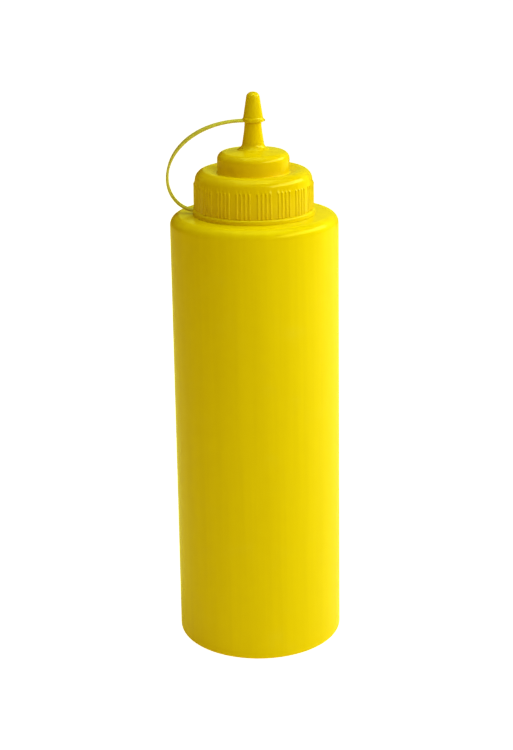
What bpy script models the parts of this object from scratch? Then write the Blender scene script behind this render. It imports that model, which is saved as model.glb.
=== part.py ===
"""Sauce squeeze bottle of one litre, with a stepped screw lid and a tethered tip cap.

The bottle stands on its base at z = 0, its axis is +Z, and its front faces -Y.
Three pieces: the bottle, the lid screwed on its neck, and one moulding that
holds the tip cap, its strap and the flat ring that keeps it round the neck.
The pack is shut, so the bottle and the lid are solid inside.
"""

import math

import bmesh
import bpy
from mathutils import Vector
from mathutils.geometry import interpolate_bezier

MM = 0.001
GAP = 0.3 * MM                  # clearance between two pieces
MERGE_DISTANCE = 0.001 * MM

# Bottle
BODY_RADIUS = 40.0 * MM
BODY_COLUMNS = 72               # faces round the bottle
BASE_ROUND = 1.7 * MM           # radius of the edge at the base
FOOT_WIDTH = 6.5 * MM           # the flat ring that the bottle stands on
RECESS_DEPTH = 1.2 * MM         # the base is pushed up inside that ring
SHOULDER_HEIGHT = 212.1 * MM
SHOULDER_ROUND = 4.8 * MM
NECK_RADIUS = 24.0 * MM
NECK_HEIGHT = 229.0 * MM

# Lid: a ribbed collar, a smaller drum on it, and the nozzle
LID_COLUMNS = 90                # one face for each rib or gap of the collar
COLLAR_RADIUS = 27.7 * MM
COLLAR_BOTTOM = 214.5 * MM
COLLAR_TOP = 233.1 * MM
COLLAR_ROUND = 5.2 * MM
COLLAR_DISH = 0.6 * MM          # the collar's top dips this much towards the drum
RIB_BOTTOM = 214.7 * MM
RIB_TOP = 226.6 * MM
RIB_HEIGHT = 0.8 * MM           # how far a rib stands off the collar
RIB_SLOPE = 0.5 * MM            # width of each flank of a rib
RIBS_PER_GROUP = 4              # one rib is left out after each group
DRUM_RADIUS = 17.05 * MM
DRUM_TOP = 240.8 * MM
DRUM_ROUND = 2.2 * MM
DRUM_CROWN = 1.2 * MM
FOOT_FILLET = 0.6 * MM          # at the foot of the drum's wall
NOZZLE_FILLET = 4.3 * MM
NOZZLE_FOOT_RADIUS = 5.15 * MM
NOZZLE_FOOT_HEIGHT = 245.6 * MM
NOZZLE_NECK_RADIUS = 3.95 * MM  # where the nozzle enters its cap
NOZZLE_NECK_HEIGHT = 255.5 * MM
NOZZLE_FLARE = 1.5              # power of the curve between those two
NOZZLE_TIP_RADIUS = 2.3 * MM
NOZZLE_TIP_HEIGHT = 266.0 * MM

# Tip cap
CAP_COLUMNS = 36
CAP_HEIGHT = 269.4 * MM
CAP_ROUND = 2.7 * MM
CAP_TOP_RADIUS = 3.2 * MM
CAP_LOW_RADIUS = 4.65 * MM
CAP_LOW_HEIGHT = 257.4 * MM
RIM_RADIUS = 5.1 * MM
RIM_BOTTOM = 255.4 * MM
RIM_THICKNESS = 1.4 * MM
TAB_REACH = 6.1 * MM            # the small pull tab opposite the strap
TAB_WIDTH = 2.4 * MM
TAB_THICKNESS = 0.9 * MM

# Ring round the neck
RING_RADIUS = 29.05 * MM
RING_BOTTOM = 212.5 * MM
RING_TOP = COLLAR_BOTTOM - GAP
RING_ROUND = 0.4 * MM

# Strap: a flat band from the tip cap's rim to the ring, in the plane y = 0
STRAP_WIDTH = 4.0 * MM
STRAP_THICKNESS = 0.9 * MM
STRAP_TWIST = math.radians(-9)  # the bend rolls the band to face the front
STRAP_CAP_END = Vector((-4.7, 0.0, 255.6)) * MM
STRAP_OUTERMOST = Vector((-40.7, 0.0, 228.6)) * MM
STRAP_RING_END = Vector((-28.0, 0.0, 213.6)) * MM
STRAP_HANDLES = (20.7 * MM, 14.7 * MM, 8.9 * MM, 6.0 * MM)
STRAP_SPANS = 18                # in each of the strap's two curves

YELLOW = (0.78, 0.58, 0.0, 1.0)
STRAP_YELLOW = (0.60, 0.55, 0.04, 1.0)


def arc(centre_r, centre_z, radius, start, end, count):
    """Points of an arc in the profile plane, angles in degrees from +r."""
    angles = [math.radians(start + (end - start) * i / (count - 1)) for i in range(count)]
    return [
        (centre_r + radius * math.cos(a), centre_z + radius * math.sin(a)) for a in angles
    ]


def material(name, colour, roughness):
    """A plain opaque plastic."""
    mat = bpy.data.materials.new(name)
    mat.use_nodes = True
    shader = mat.node_tree.nodes["Principled BSDF"]
    shader.inputs["Base Color"].default_value = colour
    shader.inputs["Roughness"].default_value = roughness
    shader.inputs["Metallic"].default_value = 0.0
    mat.diffuse_color = colour
    return mat


def lathe(profile, columns, closed=False):
    """Turn a profile of (r, z) points round the Z axis."""
    bm = bmesh.new()
    verts = [bm.verts.new((r, 0.0, z)) for r, z in profile]
    edges = [bm.edges.new(pair) for pair in zip(verts, verts[1:])]
    if closed:
        edges.append(bm.edges.new((verts[-1], verts[0])))
    bmesh.ops.spin(
        bm, geom=verts + edges, cent=(0, 0, 0), axis=(0, 0, 1),
        angle=math.tau, steps=columns, use_merge=True,
    )
    bmesh.ops.remove_doubles(bm, verts=bm.verts, dist=MERGE_DISTANCE)
    bmesh.ops.recalc_face_normals(bm, faces=bm.faces)
    return bm


def add_object(name, bm, mat):
    """Make an object of a finished bmesh, smooth but for its real edges."""
    mesh = bpy.data.meshes.new(name)
    bm.to_mesh(mesh)
    bm.free()
    mesh.materials.append(mat)
    mesh.shade_smooth()
    mesh.set_sharp_from_angle(angle=math.radians(40))
    obj = bpy.data.objects.new(name, mesh)
    bpy.context.collection.objects.link(obj)
    return obj


# ---------------------------------------------------------------- bottle

def bottle_profile():
    """From the top of the neck down the outside to the middle of the base."""
    foot_inner = BODY_RADIUS - BASE_ROUND - FOOT_WIDTH
    neck_chamfer = 0.8 * MM
    points = [
        (0.0, NECK_HEIGHT),
        (NECK_RADIUS - neck_chamfer, NECK_HEIGHT),
        (NECK_RADIUS, NECK_HEIGHT - neck_chamfer),
        (NECK_RADIUS, SHOULDER_HEIGHT),
    ]
    points += arc(
        BODY_RADIUS - SHOULDER_ROUND, SHOULDER_HEIGHT - SHOULDER_ROUND,
        SHOULDER_ROUND, 90, 0, 7,
    )
    points += arc(BODY_RADIUS - BASE_ROUND, BASE_ROUND, BASE_ROUND, 0, -90, 4)
    points += [
        (foot_inner, 0.0),
        (foot_inner - RECESS_DEPTH, RECESS_DEPTH),
        (0.0, RECESS_DEPTH),
    ]
    return points


def make_bottle(mat):
    return add_object("bottle", lathe(bottle_profile(), BODY_COLUMNS), mat)


# ------------------------------------------------------------------- lid

def nozzle_points():
    """The nozzle's tip inside the cap, its flared wall, and its foot fillet."""
    tip_chamfer = 0.6 * MM
    points = [
        (0.0, NOZZLE_TIP_HEIGHT),
        (NOZZLE_TIP_RADIUS - tip_chamfer, NOZZLE_TIP_HEIGHT),
        (NOZZLE_TIP_RADIUS, NOZZLE_TIP_HEIGHT - tip_chamfer),
    ]
    steps = 4
    for i in range(steps):
        down = i / steps
        flare = (NOZZLE_FOOT_RADIUS - NOZZLE_NECK_RADIUS) * down ** NOZZLE_FLARE
        height = NOZZLE_NECK_HEIGHT + (NOZZLE_FOOT_HEIGHT - NOZZLE_NECK_HEIGHT) * down
        points.append((NOZZLE_NECK_RADIUS + flare, height))
    points += arc(
        NOZZLE_FOOT_RADIUS + NOZZLE_FILLET, DRUM_TOP + DRUM_CROWN + NOZZLE_FILLET,
        NOZZLE_FILLET, 172, 262, 6,
    )
    return points


def lid_profile():
    """From the nozzle's tip down the outside, and up inside the collar."""
    socket_radius = NECK_RADIUS + GAP
    socket_top = NECK_HEIGHT + GAP
    points = nozzle_points()
    points += arc(
        DRUM_RADIUS - DRUM_ROUND, DRUM_TOP - DRUM_ROUND, DRUM_ROUND, 80, 0, 4,
    )
    points += [
        (DRUM_RADIUS, COLLAR_TOP - COLLAR_DISH + FOOT_FILLET),
        (DRUM_RADIUS + FOOT_FILLET, COLLAR_TOP - COLLAR_DISH),
    ]
    points += arc(
        COLLAR_RADIUS - COLLAR_ROUND, COLLAR_TOP - COLLAR_ROUND, COLLAR_ROUND, 90, 0, 6,
    )
    points += [
        (COLLAR_RADIUS, RIB_TOP),
        (COLLAR_RADIUS, RIB_BOTTOM),
        (COLLAR_RADIUS, COLLAR_BOTTOM),
        (socket_radius, COLLAR_BOTTOM),
        (socket_radius, socket_top),
        (0.0, socket_top),
    ]
    return points


def rib_faces(bm):
    """The faces of the collar's wall that carry a rib."""
    pitch = math.tau / LID_COLUMNS
    middle = (RIB_TOP + RIB_BOTTOM) / 2
    faces = []
    for face in bm.faces:
        centre = face.calc_center_median()
        on_wall = math.hypot(centre.x, centre.y) > (NECK_RADIUS + COLLAR_RADIUS) / 2
        if not on_wall or abs(centre.z - middle) > MM:
            continue
        from_front = math.atan2(centre.x, -centre.y)
        if round(from_front / pitch) % (RIBS_PER_GROUP + 1):
            faces.append(face)
    return faces


def make_lid(mat):
    bm = lathe(lid_profile(), LID_COLUMNS)
    bmesh.ops.inset_individual(
        bm, faces=rib_faces(bm), thickness=RIB_SLOPE, depth=RIB_HEIGHT,
        use_even_offset=True,
    )
    return add_object("lid", bm, mat)


# --------------------------------------------------------------- tip cap

def cap_profile():
    """From the top down the outside, round the rim, and up the cavity."""
    lean = math.degrees(
        math.atan2(CAP_LOW_RADIUS - CAP_TOP_RADIUS, CAP_HEIGHT - CAP_ROUND - CAP_LOW_HEIGHT)
    )
    rim_top = RIM_BOTTOM + RIM_THICKNESS
    rim_edge = 0.35 * MM
    mouth_radius = NOZZLE_NECK_RADIUS + GAP
    points = [(0.0, CAP_HEIGHT)]
    points += arc(CAP_TOP_RADIUS - CAP_ROUND, CAP_HEIGHT - CAP_ROUND, CAP_ROUND, 90, lean, 6)
    points += [
        (CAP_LOW_RADIUS, CAP_LOW_HEIGHT),
        (RIM_RADIUS - rim_edge, rim_top),
        (RIM_RADIUS, rim_top - rim_edge),
        (RIM_RADIUS, RIM_BOTTOM + rim_edge),
        (RIM_RADIUS - rim_edge, RIM_BOTTOM),
        (mouth_radius, RIM_BOTTOM),
        (mouth_radius, NOZZLE_NECK_HEIGHT + GAP),
        (NOZZLE_TIP_RADIUS + GAP, NOZZLE_TIP_HEIGHT + GAP),
        (0.0, NOZZLE_TIP_HEIGHT + GAP),
    ]
    return points


def ring_profile():
    """A flat ring with a rounded outer edge, as a closed loop."""
    inner = NECK_RADIUS + GAP
    edge = RING_RADIUS - RING_ROUND
    points = [(inner, RING_BOTTOM), (inner, RING_TOP)]
    points += arc(edge, RING_TOP - RING_ROUND, RING_ROUND, 90, 0, 3)
    points += arc(edge, RING_BOTTOM + RING_ROUND, RING_ROUND, 0, -90, 3)
    return points


def strap_route():
    """The strap's centre line: out from the cap, down, and in to the ring."""
    leave_cap = Vector((-1.0, 0.0, 0.0)).normalized()
    meet_ring = Vector((1.0, 0.0, 0.0)).normalized()
    down = Vector((0.0, 0.0, -1.0))
    first, second, third, fourth = STRAP_HANDLES
    upper = interpolate_bezier(
        STRAP_CAP_END, STRAP_CAP_END + leave_cap * first,
        STRAP_OUTERMOST - down * second, STRAP_OUTERMOST, STRAP_SPANS + 1,
    )
    lower = interpolate_bezier(
        STRAP_OUTERMOST, STRAP_OUTERMOST + down * third,
        STRAP_RING_END - meet_ring * fourth, STRAP_RING_END, STRAP_SPANS + 1,
    )
    return upper + lower[1:]


def strap_section(route, index):
    """The strap's cross-section at one point, a flat band with blunt edges."""
    before = route[max(index - 1, 0)]
    after = route[min(index + 1, len(route) - 1)]
    along = (after - before).normalized()
    across = Vector((0.0, 1.0, 0.0))
    outward = along.cross(across)
    travelled = min(index / STRAP_SPANS, 1.0)
    roll = STRAP_TWIST * math.sin(math.pi * travelled) ** 2
    width_axis = across * math.cos(roll) + outward * math.sin(roll)
    thick_axis = outward * math.cos(roll) - across * math.sin(roll)
    half_width = STRAP_WIDTH / 2
    half_thickness = STRAP_THICKNESS / 2
    blunt = 0.6 * half_thickness
    corners = (
        (half_width, blunt), (half_width - blunt, half_thickness),
        (-half_width + blunt, half_thickness), (-half_width, blunt),
        (-half_width, -blunt), (-half_width + blunt, -half_thickness),
        (half_width - blunt, -half_thickness), (half_width, -blunt),
    )
    return [route[index] + width_axis * w + thick_axis * t for w, t in corners]


def strap_mesh():
    bm = bmesh.new()
    route = strap_route()
    loops = []
    for index in range(len(route)):
        verts = [bm.verts.new(point) for point in strap_section(route, index)]
        loops.append([bm.edges.new(pair) for pair in zip(verts, verts[1:] + verts[:1])])
        if index in (0, len(route) - 1):
            bm.faces.new(verts)
    for near, far in zip(loops, loops[1:]):
        bmesh.ops.bridge_loops(bm, edges=near + far)
    bmesh.ops.recalc_face_normals(bm, faces=bm.faces)
    return bm


def tab_mesh():
    """The pull tab, a small plate with a rounded end, on the rim's +X side."""
    bm = bmesh.new()
    root = RIM_RADIUS - 0.5 * MM
    middle_z = RIM_BOTTOM + RIM_THICKNESS / 2
    half = TAB_WIDTH / 2
    end_round = TAB_REACH - root - 0.4 * MM
    outline = [(root, -half), (TAB_REACH - end_round, -half)]
    outline += [(TAB_REACH, -half + end_round), (TAB_REACH, half - end_round)]
    outline += [(TAB_REACH - end_round, half), (root, half)]
    verts = [bm.verts.new((x, y, middle_z - TAB_THICKNESS / 2)) for x, y in outline]
    floor = bm.faces.new(verts)
    top = bmesh.ops.extrude_face_region(bm, geom=[floor])
    lifted = [item for item in top["geom"] if isinstance(item, bmesh.types.BMVert)]
    bmesh.ops.translate(bm, verts=lifted, vec=(0.0, 0.0, TAB_THICKNESS))
    bmesh.ops.recalc_face_normals(bm, faces=bm.faces)
    return bm


def make_tip_cap(mat):
    """Cap, tab, strap and ring joined as the one moulding that they are."""
    cap = add_object("tip_cap", lathe(cap_profile(), CAP_COLUMNS), mat)
    others = bpy.data.collections.new("tip_cap_pieces")
    bpy.context.scene.collection.children.link(others)
    pieces = {
        "ring": lathe(ring_profile(), BODY_COLUMNS, closed=True),
        "strap": strap_mesh(),
        "tab": tab_mesh(),
    }
    for name, bm in pieces.items():
        piece = add_object(name, bm, mat)
        bpy.context.collection.objects.unlink(piece)
        others.objects.link(piece)
    union = cap.modifiers.new("union", "BOOLEAN")
    union.operation = "UNION"
    union.operand_type = "COLLECTION"
    union.collection = others
    union.solver = "EXACT"
    depsgraph = bpy.context.evaluated_depsgraph_get()
    joined = bpy.data.meshes.new_from_object(cap.evaluated_get(depsgraph))
    cap.modifiers.clear()
    cap.data = joined
    joined.name = "tip_cap"
    for piece in list(others.objects):
        bpy.data.objects.remove(piece)
    bpy.data.collections.remove(others)
    return cap


def main():
    for obj in list(bpy.data.objects):
        bpy.data.objects.remove(obj)
    make_bottle(material("bottle_plastic", YELLOW, 0.42))
    make_lid(material("lid_plastic", YELLOW, 0.35))
    make_tip_cap(material("cap_plastic", STRAP_YELLOW, 0.35))


main()
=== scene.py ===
"""Looks of the sauce squeeze bottle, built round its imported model.

Sizes are in metres. The bottle stands on z = 0, its axis is +Z and its front faces -Y.
"""

import math

import bmesh
import bpy
from mathutils import Euler, Matrix, Vector
from mathutils.geometry import interpolate_bezier


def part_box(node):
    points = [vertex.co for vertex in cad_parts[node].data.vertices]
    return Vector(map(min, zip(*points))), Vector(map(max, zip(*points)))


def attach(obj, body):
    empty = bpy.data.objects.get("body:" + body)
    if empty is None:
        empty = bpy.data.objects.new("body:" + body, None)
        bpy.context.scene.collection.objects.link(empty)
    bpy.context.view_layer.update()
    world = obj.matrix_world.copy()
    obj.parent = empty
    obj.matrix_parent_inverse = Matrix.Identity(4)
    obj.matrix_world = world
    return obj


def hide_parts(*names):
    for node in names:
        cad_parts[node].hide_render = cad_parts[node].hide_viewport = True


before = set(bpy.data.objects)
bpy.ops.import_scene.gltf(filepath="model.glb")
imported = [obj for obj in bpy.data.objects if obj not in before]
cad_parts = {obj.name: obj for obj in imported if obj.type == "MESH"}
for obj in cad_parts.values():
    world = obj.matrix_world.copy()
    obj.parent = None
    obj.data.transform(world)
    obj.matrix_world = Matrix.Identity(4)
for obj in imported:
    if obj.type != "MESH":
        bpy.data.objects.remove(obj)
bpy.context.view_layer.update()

MM = 0.001
MERGE_DISTANCE = 0.0005 * MM
SMOOTH_ANGLE = math.radians(35)
DEGREES_PER_SEGMENT = 7         # how finely a corner of a profile is rounded

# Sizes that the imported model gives
_, bottle_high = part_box("bottle")
lid_low, lid_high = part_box("lid")
tether_low, tether_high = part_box("tip_cap")

BODY_RADIUS = bottle_high.x
NECK_HEIGHT = bottle_high.z
COLLAR_BOTTOM = lid_low.z
NOZZLE_TIP = lid_high.z
RING_RADIUS = tether_high.x
RING_BOTTOM = tether_low.z
CAP_HEIGHT = tether_high.z

# Bottle
BODY_COLUMNS = 192
NECK_RADIUS = 24.0 * MM
NECK_ROUND = 0.8 * MM
NECK_FOOT_ROUND = 0.5 * MM
SHOULDER_HEIGHT = 211.78 * MM
SHOULDER_ROUND = 4.8 * MM
BASE_ROUND = 1.7 * MM
FOOT_INNER = 31.8 * MM          # the base stands on a ring from here outwards
FOOT_ROUND = 0.7 * MM
PUSH_UP = 1.2 * MM              # the middle of the base is pushed up
PUSH_UP_ROUND = 0.9 * MM
PINCH_LENGTH = 46.0 * MM        # the ridge across it, where the mould pinched the plastic
PINCH_WIDTH = 0.7 * MM
PINCH_HEIGHT = 0.45 * MM
PINCH_ROUND = PINCH_WIDTH * 0.4

# Lid: collar with ribs, drum and nozzle. A pair is a radius and a height.
LID_COLUMNS = 450
RIB_PITCH = 5                   # columns from one rib to the next
RIB_REACH = 1                   # columns under a rib on each side of its middle one
RIBS_PER_GROUP = 4
RIB_HEIGHT = 0.28 * MM
RIB_FLANK = 0.36 * MM
RIB_CREST = 0.12 * MM           # rounding along the crest
RIB_END_ZONE = 1.0 * MM         # a rib's upper end slopes within this much of its top
RIB_END_SLOPE = 0.4 * MM
RIB_END_RISE = 0.2 * MM         # the crests stay upright while the wall curves in
RIB_BOTTOM = 214.55 * MM
RIB_TOP = 227.1 * MM
LID_BOTTOM = COLLAR_BOTTOM - 0.05 * MM
SOCKET_GAP = 0.3 * MM           # between the neck and the lid's inside
SOCKET_ROUND = 0.3 * MM
COLLAR_RADIUS = lid_high.x - RIB_HEIGHT
WALL_BENDS = ((27.95 * MM, RIB_TOP), (28.12 * MM, 225.0 * MM), (28.18 * MM, 222.0 * MM))
WALL_TOP = 27.05 * MM           # where the leaning wall would meet the collar's top
COLLAR_TOP = 232.95 * MM
COLLAR_ROUND = 4.8 * MM
MOAT_DEPTH = 1.7 * MM           # the collar's top dips towards the drum
MOAT_CREST = 21.6 * MM
MOAT_CREST_ROUND = 5.0 * MM
LID_NOD = math.radians(0.72)    # the lid is not screwed on quite straight:
LID_LEAN = math.radians(0.31)   # it nods to the front and leans to the right
LID_SHIFT = Vector((-0.12, 0.0, 0.0)) * MM
DRUM_RADIUS = 17.07 * MM
DRUM_EDGE = 241.02 * MM
DRUM_ROUND = 3.5 * MM
DRUM_FOOT_ROUND = 0.7 * MM
NOZZLE_FOOT = (5.55 * MM, 242.5 * MM)
NOZZLE_FILLET = 3.6 * MM
NOZZLE_BEND = (3.95 * MM, 253.0 * MM)
NOZZLE_BEND_ROUND = 30.0 * MM
NOZZLE_NECK = 255.5 * MM
NOZZLE_TIP_RADIUS = 2.3 * MM
NOZZLE_TIP_ROUND = 0.6 * MM

# Tip cap
CAP_COLUMNS = 96
CAP_TOP_RADIUS = 2.81 * MM
CAP_ROUND = 2.7 * MM
CAP_LOW_RADIUS = 4.65 * MM
CAP_LOW_HEIGHT = 257.4 * MM
CAP_LOW_ROUND = 0.8 * MM
CAP_GAP = 0.3 * MM              # between the nozzle's tip and the cap's inside
CAP_INNER_RADIUS = 2.6 * MM
MOUTH_RADIUS = 4.25 * MM
MOUTH_DEPTH = 0.4 * MM
MOUTH_ROUND = 0.2 * MM
CAP_OFFSET = 0.1 * MM           # the strap lets the cap sit a little to one side
RIM_RADIUS = 5.1 * MM
RIM_BOTTOM = 255.4 * MM
RIM_THICKNESS = 1.4 * MM
RIM_ROUND = 0.45 * MM
TAB_REACH = 5.65 * MM
TAB_WIDTH = 2.4 * MM
TAB_THICKNESS = 0.9 * MM
TAB_ROOT = 1.0 * MM             # how far the tab reaches into the rim
TAB_ROUND = TAB_THICKNESS * 0.45

# Strap and ring
STRAP_WIDTH = 4.0 * MM
STRAP_THICKNESS = 1.25 * MM
STRAP_ROUND = STRAP_THICKNESS * 0.45
STRAP_TWIST = math.radians(-9)
STRAP_FLARE = 1.2               # the strap widens where it joins the cap and the ring,
STRAP_FLARE_SHARE = 0.2         # over this share of each half of its route
STRAP_CAP_END = Vector((-4.3, -0.5, 255.9)) * MM
STRAP_OUTERMOST = Vector((-40.7, 0.0, 228.6)) * MM
STRAP_RING_END = Vector((-28.0, 0.0, 213.6)) * MM
STRAP_HANDLES = (20.7 * MM, 14.7 * MM, 8.9 * MM, 6.0 * MM)      # of its two curves
STRAP_SPANS = 40                # along each of the two
RING_INNER = 24.4 * MM
RING_GAP = 0.01 * MM            # under the lid
RING_ROUND = 0.2 * MM
RING_SHED = 1.1 * MM            # rounding of the ring's upper edge
RING_DROP = 0.7 * MM            # the ring rests on the bottle's shoulder


# ------------------------------------------------------------- mesh helpers

def rounded_line(bm, corners, closed=False):
    """A line in the plane y = 0 through (r, z, rounding) corners."""
    points = [Vector((r, 0.0, z)) for r, z, _ in corners]
    verts = [bm.verts.new(point) for point in points]
    for pair in zip(verts, verts[1:]):
        bm.edges.new(pair)
    if closed:
        bm.edges.new((verts[-1], verts[0]))
    for index, vert in enumerate(verts):
        rounding = corners[index][2]
        if not rounding:
            continue
        before = points[index] - points[index - 1]
        after = points[(index + 1) % len(points)] - points[index]
        turn = before.angle(after)
        bmesh.ops.bevel(
            bm, geom=[vert], affect="VERTICES", offset=rounding * math.tan(turn / 2),
            segments=max(2, round(math.degrees(turn) / DEGREES_PER_SEGMENT)),
            profile=0.5, material=-1,
        )


def lathe(corners, columns, closed=False):
    """Turn a rounded profile round the Z axis."""
    bm = bmesh.new()
    rounded_line(bm, corners, closed)
    bmesh.ops.spin(
        bm, geom=bm.verts[:] + bm.edges[:], cent=(0, 0, 0), axis=(0, 0, 1),
        angle=math.tau, steps=columns, use_merge=True,
    )
    close_and_face_out(bm)
    return bm


def close_and_face_out(bm):
    """Close the seam and the poles, then turn every face outwards."""
    bmesh.ops.remove_doubles(bm, verts=bm.verts, dist=MERGE_DISTANCE)
    bmesh.ops.recalc_face_normals(bm, faces=bm.faces)


def rounded_block(bm, size, centre, rounding, segments=3):
    """A block with every edge rounded, added to a bmesh."""
    place = Matrix.Translation(centre) @ Matrix.Diagonal((*size, 1.0))
    block = bmesh.ops.create_cube(bm, size=1.0, matrix=place)
    edges = {edge for vert in block["verts"] for edge in vert.link_edges}
    bmesh.ops.bevel(
        bm, geom=list(edges), affect="EDGES", offset=rounding,
        segments=segments, profile=0.5, material=-1,
    )


def add_piece(name, bm, material, node):
    """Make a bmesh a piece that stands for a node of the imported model."""
    mesh = bpy.data.meshes.new(name)
    bm.to_mesh(mesh)
    bm.free()
    mesh.materials.append(material)
    mesh.shade_smooth()
    mesh.set_sharp_from_angle(angle=SMOOTH_ANGLE)
    piece = bpy.data.objects.new(name, mesh)
    bpy.context.scene.collection.objects.link(piece)
    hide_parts(node)
    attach(piece, "root")


# ------------------------------------------------------------------- bottle

def bottle_shape():
    """The blown bottle, from the top of its neck to the middle of its base."""
    bm = lathe(
        [
            (0.0, NECK_HEIGHT, 0.0),
            (NECK_RADIUS, NECK_HEIGHT, NECK_ROUND),
            (NECK_RADIUS, SHOULDER_HEIGHT, NECK_FOOT_ROUND),
            (BODY_RADIUS, SHOULDER_HEIGHT, SHOULDER_ROUND),
            (BODY_RADIUS, 0.0, BASE_ROUND),
            (FOOT_INNER, 0.0, FOOT_ROUND),
            (FOOT_INNER - PUSH_UP, PUSH_UP, PUSH_UP_ROUND),
            (0.0, PUSH_UP, 0.0),
        ],
        BODY_COLUMNS,
    )
    pinch_size = (PINCH_LENGTH, PINCH_WIDTH, PINCH_HEIGHT * 2)
    rounded_block(bm, pinch_size, (0.0, 0.0, PUSH_UP), PINCH_ROUND)
    return bm


# ---------------------------------------------------------------------- lid

def lid_corners():
    """From the nozzle's tip down the outside, and up inside the collar."""
    socket_radius = NECK_RADIUS + SOCKET_GAP
    socket_top = NECK_HEIGHT + SOCKET_GAP
    return [
        (0.0, NOZZLE_TIP, 0.0),
        (NOZZLE_TIP_RADIUS, NOZZLE_TIP, NOZZLE_TIP_ROUND),
        (NOZZLE_BEND[0], NOZZLE_NECK, 0.0),
        (*NOZZLE_BEND, NOZZLE_BEND_ROUND),
        (*NOZZLE_FOOT, NOZZLE_FILLET),
        (DRUM_RADIUS, DRUM_EDGE, DRUM_ROUND),
        (DRUM_RADIUS, COLLAR_TOP - MOAT_DEPTH, DRUM_FOOT_ROUND),
        (MOAT_CREST, COLLAR_TOP, MOAT_CREST_ROUND),
        (WALL_TOP, COLLAR_TOP, COLLAR_ROUND),
        *((r, z, 0.0) for r, z in WALL_BENDS),
        (COLLAR_RADIUS, RIB_BOTTOM, 0.0),
        (COLLAR_RADIUS, LID_BOTTOM, 0.0),
        (socket_radius, LID_BOTTOM, SOCKET_ROUND),
        (socket_radius, socket_top, 0.0),
        (0.0, socket_top, 0.0),
    ]


def rib_faces(bm):
    """The faces of the collar's wall under its ribs, four ribs and a gap in turn."""
    column_angle = math.tau / LID_COLUMNS
    faces = []
    for face in bm.faces:
        centre = face.calc_center_median()
        on_wall = math.hypot(centre.x, centre.y) > (NECK_RADIUS + COLLAR_RADIUS) / 2
        if not on_wall or not RIB_BOTTOM < centre.z < RIB_TOP:
            continue
        column = round(math.atan2(centre.x, -centre.y) / column_angle)
        rib = round(column / RIB_PITCH)
        if rib % (RIBS_PER_GROUP + 1) and abs(column - rib * RIB_PITCH) <= RIB_REACH:
            faces.append(face)
    return faces


def raise_ribs(bm):
    """Raise the ribs off the collar, with rounded crests and sloping ends."""
    crests = rib_faces(bm)
    bmesh.ops.inset_region(
        bm, faces=crests, thickness=RIB_FLANK, depth=RIB_HEIGHT, use_even_offset=True,
    )
    ends = {vert for face in crests for vert in face.verts}
    upper = [vert for vert in ends if vert.co.z > RIB_TOP - RIB_END_ZONE]
    bmesh.ops.translate(bm, verts=upper, vec=(0.0, 0.0, -RIB_END_SLOPE))
    rise = 1.0 + RIB_END_RISE / COLLAR_RADIUS
    bmesh.ops.scale(bm, verts=upper, vec=(rise, rise, 1.0))
    crest_set = set(crests)
    edges = {
        edge for face in crests for edge in face.edges
        if not all(other in crest_set for other in edge.link_faces)
    }
    bmesh.ops.bevel(
        bm, geom=list(edges), affect="EDGES", offset=RIB_CREST,
        segments=3, profile=0.5, material=-1,
    )


def tilt_with_lid(bm, verts):
    """Tilt vertices with the lid, about the middle of the lid's lower edge."""
    bmesh.ops.rotate(
        bm, verts=verts, cent=(0.0, 0.0, LID_BOTTOM),
        matrix=Matrix.Rotation(LID_NOD, 3, "X") @ Matrix.Rotation(LID_LEAN, 3, "Y"),
    )
    bmesh.ops.translate(bm, verts=verts, vec=LID_SHIFT)


def lid_shape():
    """The ribbed collar, the drum and the nozzle in one, as the lid sits on the neck."""
    bm = lathe(lid_corners(), LID_COLUMNS)
    raise_ribs(bm)
    tilt_with_lid(bm, bm.verts)
    return bm


# ------------------------------------------------- tip cap, strap and ring

def tip_cap_shape():
    """The thimble with its rim and the small pull tab."""
    rim_top = RIM_BOTTOM + RIM_THICKNESS
    hollow_top = NOZZLE_TIP + CAP_GAP
    bm = lathe(
        [
            (0.0, CAP_HEIGHT, 0.0),
            (CAP_TOP_RADIUS, CAP_HEIGHT, CAP_ROUND),
            (CAP_LOW_RADIUS, CAP_LOW_HEIGHT, CAP_LOW_ROUND),
            (RIM_RADIUS, rim_top, RIM_ROUND),
            (RIM_RADIUS, RIM_BOTTOM, RIM_ROUND),
            (MOUTH_RADIUS, RIM_BOTTOM, MOUTH_ROUND),
            (MOUTH_RADIUS, RIM_BOTTOM + MOUTH_DEPTH, 0.0),
            (CAP_INNER_RADIUS, hollow_top, 0.0),
            (0.0, hollow_top, 0.0),
        ],
        CAP_COLUMNS,
    )
    root = RIM_RADIUS - TAB_ROOT
    tab_size = (TAB_REACH - root, TAB_WIDTH, TAB_THICKNESS)
    tab_centre = ((TAB_REACH + root) / 2, 0.0, RIM_BOTTOM + RIM_THICKNESS / 2)
    rounded_block(bm, tab_size, tab_centre, TAB_ROUND, segments=4)
    bmesh.ops.translate(bm, verts=bm.verts, vec=(CAP_OFFSET, 0.0, 0.0))
    tilt_with_lid(bm, bm.verts)
    return bm


def strap_route():
    """The strap's centre line: out from the cap, down, and in to the ring."""
    outwards = Vector((-1.0, 0.0, 0.0))
    down = Vector((0.0, 0.0, -1.0))
    first, second, third, fourth = STRAP_HANDLES
    upper = interpolate_bezier(
        STRAP_CAP_END, STRAP_CAP_END + outwards * first,
        STRAP_OUTERMOST - down * second, STRAP_OUTERMOST, STRAP_SPANS + 1,
    )
    lower = interpolate_bezier(
        STRAP_OUTERMOST, STRAP_OUTERMOST + down * third,
        STRAP_RING_END + outwards * fourth, STRAP_RING_END, STRAP_SPANS + 1,
    )
    return upper + lower[1:]


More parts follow.
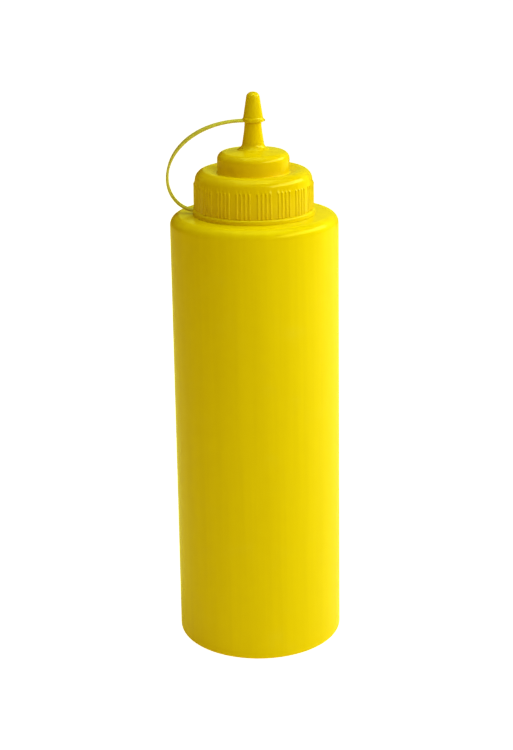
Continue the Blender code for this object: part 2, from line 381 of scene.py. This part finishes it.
def strap_place(route, index):
    """Where one cross-section of the strap lies, its width along x and thickness along y."""
    before = route[max(index - 1, 0)]
    after = route[min(index + 1, len(route) - 1)]
    along = (after - before).normalized()
    across = Vector((0.0, 1.0, 0.0))
    outward = along.cross(across)
    turned = Matrix((across, outward, along)).transposed().to_4x4()
    travelled = min(index / STRAP_SPANS, 1.0)
    roll = STRAP_TWIST * math.sin(math.pi * travelled) ** 2
    to_end = min(index, len(route) - 1 - index)
    end_share = max(0.0, 1.0 - to_end / (STRAP_SPANS * STRAP_FLARE_SHARE))
    widen = 1.0 + (STRAP_FLARE - 1.0) * end_share ** 2
    return (
        Matrix.Translation(route[index]) @ turned
        @ Matrix.Rotation(roll, 4, "Z") @ Matrix.Diagonal((widen, 1.0, 1.0, 1.0))
    )


def strap_shape():
    """A flat band with soft edges, swept along its route."""
    bm = bmesh.new()
    route = strap_route()
    half_width, half_thickness = STRAP_WIDTH / 2, STRAP_THICKNESS / 2
    rounded_line(
        bm,
        [
            (half_width, half_thickness, STRAP_ROUND),
            (-half_width, half_thickness, STRAP_ROUND),
            (-half_width, -half_thickness, STRAP_ROUND),
            (half_width, -half_thickness, STRAP_ROUND),
        ],
        closed=True,
    )
    bmesh.ops.rotate(
        bm, verts=bm.verts, cent=(0, 0, 0), matrix=Matrix.Rotation(math.radians(-90), 3, "X"),
    )
    section = bm.edges[:] + bm.verts[:]
    loops = []
    for index in range(len(route)):
        copy = bmesh.ops.duplicate(bm, geom=section)["geom"]
        verts = [item for item in copy if isinstance(item, bmesh.types.BMVert)]
        bmesh.ops.transform(bm, verts=verts, matrix=strap_place(route, index))
        loops.append([item for item in copy if isinstance(item, bmesh.types.BMEdge)])
    bmesh.ops.delete(
        bm, geom=[item for item in section if isinstance(item, bmesh.types.BMVert)],
        context="VERTS",
    )
    for near, far in zip(loops, loops[1:]):
        bmesh.ops.bridge_loops(bm, edges=near + far)
    for end in (loops[0], loops[-1]):
        bmesh.ops.edgeloop_fill(bm, edges=end)
    close_and_face_out(bm)
    return bm


def ring_shape():
    """The flat ring that keeps the strap round the neck."""
    bottom = RING_BOTTOM - RING_DROP
    top = LID_BOTTOM - RING_GAP
    bm = lathe(
        [
            (RING_INNER, bottom, RING_ROUND),
            (RING_RADIUS, bottom, RING_ROUND),
            (RING_RADIUS, top, RING_SHED),
            (RING_INNER, top, RING_ROUND),
        ],
        BODY_COLUMNS, closed=True,
    )
    tilt_with_lid(bm, [vert for vert in bm.verts if vert.co.z > (bottom + top) / 2])
    return bm


# ---------------------------------------------------------------- materials

SCRATCH_SCALE = 2400.0
SCRATCH_DIRECTIONS = (          # turn, and the squeeze that draws the noise out to lines
    (Euler((0.3, 0.9, 0.2)), 0.06),
    (Euler((1.1, -0.5, 0.8)), 0.05),
)
ROUGHNESS_SPREAD = 0.04         # how far the grain moves the roughness up and down
SCUFF_ROUGHNESS = 0.15
SCUFF_FADE = 0.1                # how far a scuff pales the colour
DEEP_TINT = (1.0, 0.85, 0.12, 1.0)     # the gloss is tinted yellow, most on the bottle
CLEAR_TINT = (1.0, 0.93, 0.4, 1.0)


def new_group(name, inputs, outputs):
    """An empty shader node group with the named inputs and outputs."""
    group = bpy.data.node_groups.new(name, "ShaderNodeTree")
    for title, kind, value in inputs:
        socket = group.interface.new_socket(title, in_out="INPUT", socket_type=kind)
        socket.default_value = value
    for title, kind in outputs:
        group.interface.new_socket(title, in_out="OUTPUT", socket_type=kind)
    start = group.nodes.new("NodeGroupInput")
    end = group.nodes.new("NodeGroupOutput")
    return group, start, end


def add_node(tree, kind, **settings):
    """A node with its settings; `inputs` gives a value or a link for each named socket."""
    inputs = settings.pop("inputs", {})
    node = tree.nodes.new(kind)
    for key, value in settings.items():
        setattr(node, key, value)
    for key, value in inputs.items():
        if isinstance(value, bpy.types.NodeSocket):
            tree.links.new(value, node.inputs[key])
        else:
            node.inputs[key].default_value = value
    return node


def math_node(tree, operation, first, second, clamp=False):
    """The sum, product or maximum of two numbers."""
    return add_node(
        tree, "ShaderNodeMath", operation=operation, use_clamp=clamp,
        inputs={0: first, 1: second},
    ).outputs[0]


def mix_colours(tree, share, first, second):
    """The first colour where the share is 0, the second one where it is 1."""
    return add_node(
        tree, "ShaderNodeMix", data_type="RGBA", inputs={0: share, 6: first, 7: second},
    ).outputs[2]


def noise_node(tree, place, scale, detail, **more):
    """Noise from 0 to 1, with more of its inputs given by name."""
    return add_node(
        tree, "ShaderNodeTexNoise",
        inputs={"Vector": place, "Scale": scale, "Detail": detail, **more},
    ).outputs["Fac"]


def moulding_grain_group():
    """Fine grain of the mould over slow waves in the wall, as a height."""
    group, start, end = new_group(
        "moulding_grain",
        [
            ("Grain Scale", "NodeSocketFloat", 2500.0),
            ("Grain", "NodeSocketFloat", 0.3),
            ("Wave Scale", "NodeSocketFloat", 60.0),
            ("Wave", "NodeSocketFloat", 1.0),
        ],
        [("Height", "NodeSocketFloat"), ("Grain", "NodeSocketFloat")],
    )
    place = add_node(group, "ShaderNodeTexCoord").outputs["Object"]
    fine = noise_node(group, place, start.outputs["Grain Scale"], 3.0)
    slow = noise_node(group, place, start.outputs["Wave Scale"], 1.0)
    grain = math_node(group, "MULTIPLY", fine, start.outputs["Grain"])
    waves = math_node(group, "MULTIPLY", slow, start.outputs["Wave"])
    group.links.new(math_node(group, "ADD", grain, waves), end.inputs["Height"])
    group.links.new(fine, end.inputs["Grain"])
    return group


def flow_streak_group():
    """Soft streaks where the plastic flowed, from 0 to 1; a squeeze below 1 draws them up."""
    group, start, end = new_group(
        "flow_streaks",
        [
            ("Scale", "NodeSocketFloat", 260.0),
            ("Squeeze", "NodeSocketFloat", 0.03),
        ],
        [("Streak", "NodeSocketFloat")],
    )
    place = add_node(group, "ShaderNodeTexCoord").outputs["Object"]
    squeeze = add_node(
        group, "ShaderNodeCombineXYZ", inputs={0: 1.0, 1: 1.0, 2: start.outputs["Squeeze"]},
    ).outputs[0]
    squeezed = add_node(
        group, "ShaderNodeVectorMath", operation="MULTIPLY", inputs={0: place, 1: squeeze},
    ).outputs[0]
    noise = noise_node(group, squeezed, start.outputs["Scale"], 4.0, Roughness=0.6)
    streak = add_node(
        group, "ShaderNodeMapRange", interpolation_type="SMOOTHSTEP",
        inputs={"Value": noise, "From Min": 0.3, "From Max": 0.7},
    ).outputs[0]
    group.links.new(streak, end.inputs["Streak"])
    return group


def scuff_group():
    """Fine scratches in two directions and rubbed patches, from 0 to 1."""
    group, start, end = new_group(
        "handling_scuffs",
        [
            ("Scale", "NodeSocketFloat", 90.0),
            ("Amount", "NodeSocketFloat", 0.5),
        ],
        [("Scuff", "NodeSocketFloat")],
    )
    place = add_node(group, "ShaderNodeTexCoord").outputs["Object"]
    rubbed = add_node(
        group, "ShaderNodeMapRange",
        inputs={"Value": noise_node(group, place, start.outputs["Scale"], 3.0),
                "From Min": 0.5, "From Max": 0.75},
    ).outputs[0]
    lines = []
    for turn, squeeze in SCRATCH_DIRECTIONS:
        turned = add_node(
            group, "ShaderNodeMapping",
            inputs={"Vector": place, "Rotation": turn, "Scale": (1.0, 1.0, squeeze)},
        ).outputs[0]
        lines.append(add_node(
            group, "ShaderNodeMapRange",
            inputs={"Value": noise_node(group, turned, SCRATCH_SCALE, 1.0),
                    "From Min": 0.68, "From Max": 0.78},
        ).outputs[0])
    scratches = math_node(group, "MAXIMUM", *lines)
    both = math_node(group, "MULTIPLY", math_node(group, "ADD", scratches, rubbed), rubbed)
    scaled = math_node(group, "MULTIPLY", both, start.outputs["Amount"], clamp=True)
    group.links.new(scaled, end.inputs["Scuff"])
    return group


GRAIN = moulding_grain_group()
STREAKS = flow_streak_group()
SCUFFS = scuff_group()


def plastic(name, colour, shade, tint, roughness, bump, grain, streaks, scuffs):
    """A moulded polyethylene with grain, flow streaks and light handling wear."""
    material = bpy.data.materials.new(name)
    material.use_nodes = True
    tree = material.node_tree
    shader = tree.nodes["Principled BSDF"]
    shader.inputs["Specular IOR Level"].default_value = 0.5
    shader.inputs["Specular Tint"].default_value = tint
    surface = add_node(tree, "ShaderNodeGroup", node_tree=GRAIN, inputs=grain)
    streak = add_node(tree, "ShaderNodeGroup", node_tree=STREAKS, inputs=streaks).outputs[0]
    scuff = add_node(tree, "ShaderNodeGroup", node_tree=SCUFFS, inputs=scuffs).outputs[0]
    pigment = mix_colours(tree, streak, colour, shade)
    faded = (*(c * (1.0 - SCUFF_FADE) + SCUFF_FADE for c in colour[:3]), 1.0)
    finished = mix_colours(tree, scuff, pigment, faded)
    tree.links.new(finished, shader.inputs["Base Color"])
    gloss = add_node(
        tree, "ShaderNodeMapRange",
        inputs={"Value": surface.outputs["Grain"], "From Min": 0.3, "From Max": 0.7,
                "To Min": roughness - ROUGHNESS_SPREAD,
                "To Max": roughness + ROUGHNESS_SPREAD},
    ).outputs[0]
    dulled = math_node(tree, "MULTIPLY", scuff, SCUFF_ROUGHNESS)
    tree.links.new(math_node(tree, "ADD", gloss, dulled), shader.inputs["Roughness"])
    relief = add_node(
        tree, "ShaderNodeBump",
        inputs={"Strength": 1.0, "Distance": bump, "Height": surface.outputs["Height"]},
    )
    tree.links.new(relief.outputs[0], shader.inputs["Normal"])
    return material


bottle_plastic = plastic(
    "bottle_plastic", colour=(0.89, 0.68, 0.0, 1.0), shade=(0.86, 0.65, 0.0, 1.0),
    tint=DEEP_TINT, roughness=0.2, bump=0.02 * MM,
    grain={"Grain Scale": 3000.0, "Grain": 0.2, "Wave Scale": 55.0, "Wave": 1.5},
    streaks={"Scale": 260.0, "Squeeze": 0.03}, scuffs={"Scale": 70.0, "Amount": 0.08},
)
lid_plastic = plastic(
    "lid_plastic", colour=(0.85, 0.615, 0.0, 1.0), shade=(0.83, 0.595, 0.0, 1.0),
    tint=CLEAR_TINT, roughness=0.13, bump=0.01 * MM,
    grain={"Grain Scale": 2200.0, "Grain": 0.2, "Wave Scale": 350.0, "Wave": 1.0},
    streaks={"Scale": 500.0, "Squeeze": 0.08}, scuffs={"Scale": 120.0, "Amount": 0.08},
)
cap_plastic = plastic(
    "cap_plastic", colour=(0.81, 0.59, 0.0, 1.0), shade=(0.79, 0.57, 0.0, 1.0),
    tint=CLEAR_TINT, roughness=0.16, bump=0.01 * MM,
    grain={"Grain Scale": 2200.0, "Grain": 0.2, "Wave Scale": 300.0, "Wave": 0.5},
    streaks={"Scale": 600.0, "Squeeze": 0.1}, scuffs={"Scale": 150.0, "Amount": 0.08},
)
strap_plastic = plastic(
    "strap_plastic", colour=(0.72, 0.67, 0.22, 1.0), shade=(0.68, 0.63, 0.18, 1.0),
    tint=CLEAR_TINT, roughness=0.4, bump=0.005 * MM,
    grain={"Grain Scale": 2200.0, "Grain": 0.2, "Wave Scale": 200.0, "Wave": 0.5},
    streaks={"Scale": 400.0, "Squeeze": 0.3}, scuffs={"Scale": 150.0, "Amount": 0.1},
)
ring_plastic = plastic(
    "ring_plastic", colour=(0.88, 0.68, 0.0, 1.0), shade=(0.85, 0.65, 0.0, 1.0),
    tint=CLEAR_TINT, roughness=0.2, bump=0.01 * MM,
    grain={"Grain Scale": 2200.0, "Grain": 0.2, "Wave Scale": 300.0, "Wave": 0.5},
    streaks={"Scale": 500.0, "Squeeze": 0.3}, scuffs={"Scale": 150.0, "Amount": 0.08},
)

add_piece("bottle_body", bottle_shape(), bottle_plastic, "bottle")
add_piece("screw_lid", lid_shape(), lid_plastic, "lid")
add_piece("nozzle_tip_cap", tip_cap_shape(), cap_plastic, "tip_cap")
add_piece("cap_strap", strap_shape(), strap_plastic, "tip_cap")
add_piece("neck_ring", ring_shape(), ring_plastic, "tip_cap")


# ------------------------------------------------------- floor, light, view

SOFTBOX_DISTANCE = 1.1
SOFTBOX_TARGET = Vector((0.0, 0.0, 0.14))
HIGH_TINT = (1.0, 1.33, 0.25)   # keeps the faces that look up lemon, not orange
SOFTBOXES = (
    # name, azimuth, elevation, width and height, power, colour
    ("key_softbox", 76, 34, (1.8, 0.4), 9.6, (1.0, 1.13, 0.4)),
    ("rear_softbox", 118, 14, (0.9, 0.9), 3.3, (1.0, 1.12, 0.05)),
    ("back_softbox", 165, 22, (0.9, 0.9), 1.25, (0.95, 1.25, 0.1)),
    ("top_softbox", 0, 90, (0.8, 0.8), 2.6, HIGH_TINT),
    ("top_front_softbox", 0, 70, (0.9, 0.14), 1.3, HIGH_TINT),
    ("top_right_softbox", 84, 68, (0.7, 0.6), 0.7, HIGH_TINT),
    ("edge_softbox", -20, 50, (1.2, 0.06), 0.4, HIGH_TINT),
    ("high_left_softbox", -84, 62, (0.8, 0.7), 0.5, HIGH_TINT),
    ("left_softbox", -115, 40, (0.9, 0.9), 0.4, (1.0, 0.93, 0.1)),
)

FLOOR_SIZE = 6.0
FLOOR_DROP = 0.1 * MM
FLOOR_GLOW = (0.245, 0.2, 0.0, 1.0)
ROOM_GLOW = (0.14, 0.02, 0.01, 1.0)
FLOOR_WHITE = (1.0, 1.0, 1.0, 1.0)
BACKDROP_WHITE = (4.0, 4.0, 4.0, 1.0)

CAMERA_PLACE = (0.0, -0.712, 0.3647)
CAMERA_DOWN = math.radians(13.98)
CAMERA_ROLL = math.radians(-0.906)
CAMERA_SENSOR = 36.0
CAMERA_LENS = 73.73
CAMERA_SHIFT = (0.0021, -0.15)


def colour_by_ray(tree, falling, looking):
    """One colour as light on the bottle, another one as the camera sees it."""
    seen = add_node(tree, "ShaderNodeLightPath").outputs["Is Camera Ray"]
    return mix_colours(tree, seen, falling, looking)


def add_floor():
    """A pale floor that looks white and throws a warm glow up the bottle."""
    bm = bmesh.new()
    bmesh.ops.create_grid(bm, x_segments=1, y_segments=1, size=FLOOR_SIZE)
    mesh = bpy.data.meshes.new("floor")
    bm.to_mesh(mesh)
    bm.free()
    floor = bpy.data.objects.new("floor", mesh)
    floor.location.z = -FLOOR_DROP
    bpy.context.scene.collection.objects.link(floor)
    material = bpy.data.materials.new("pale_floor")
    material.use_nodes = True
    tree = material.node_tree
    shader = tree.nodes["Principled BSDF"]
    shader.inputs["Base Color"].default_value = (0.85, 0.85, 0.85, 1.0)
    shader.inputs["Roughness"].default_value = 0.9
    shader.inputs["Specular IOR Level"].default_value = 0.0
    shader.inputs["Emission Strength"].default_value = 1.0
    glow = colour_by_ray(tree, FLOOR_GLOW, FLOOR_WHITE)
    tree.links.new(glow, shader.inputs["Emission Color"])
    mesh.materials.append(material)


def add_softbox(name, azimuth, elevation, size, power, colour):
    """An area light that faces the bottle; azimuth 0 is the front, 90 the +X side."""
    a, e = math.radians(azimuth), math.radians(elevation)
    back = Vector((math.sin(a) * math.cos(e), -math.cos(a) * math.cos(e), math.sin(e)))
    data = bpy.data.lights.new(name, "AREA")
    data.shape = "RECTANGLE"
    data.size, data.size_y = size
    data.energy = power
    data.color = colour
    light = bpy.data.objects.new(name, data)
    light.location = SOFTBOX_TARGET + back * SOFTBOX_DISTANCE
    light.rotation_euler = back.to_track_quat("Z", "Y").to_euler()
    bpy.context.scene.collection.objects.link(light)


def add_world():
    """A dim warm room, with a white backdrop as the camera sees it."""
    world = bpy.data.worlds.new("studio_room")
    bpy.context.scene.world = world
    world.use_nodes = True
    tree = world.node_tree
    tree.nodes.clear()
    colour = colour_by_ray(tree, ROOM_GLOW, BACKDROP_WHITE)
    light = add_node(tree, "ShaderNodeBackground", inputs={"Color": colour}).outputs[0]
    add_node(tree, "ShaderNodeOutputWorld", inputs={"Surface": light})


def add_camera():
    """The camera in front of the bottle, a little above it and rolled by under a degree."""
    data = bpy.data.cameras.new("camera")
    data.sensor_width = CAMERA_SENSOR
    data.lens = CAMERA_LENS
    data.shift_x, data.shift_y = CAMERA_SHIFT
    data.clip_start = 0.01
    data.clip_end = 50.0
    camera = bpy.data.objects.new("camera", data)
    camera.matrix_world = (
        Matrix.Translation(CAMERA_PLACE)
        @ Matrix.Rotation(math.radians(90) - CAMERA_DOWN, 4, "X")
        @ Matrix.Rotation(CAMERA_ROLL, 4, "Z")
    )
    bpy.context.scene.collection.objects.link(camera)
    bpy.context.scene.camera = camera


add_floor()
for softbox in SOFTBOXES:
    add_softbox(*softbox)
add_world()
add_camera()

view = bpy.context.scene.view_settings
view.view_transform = "Standard"
view.look = "None"
view.exposure = 0.0
view.gamma = 1.0
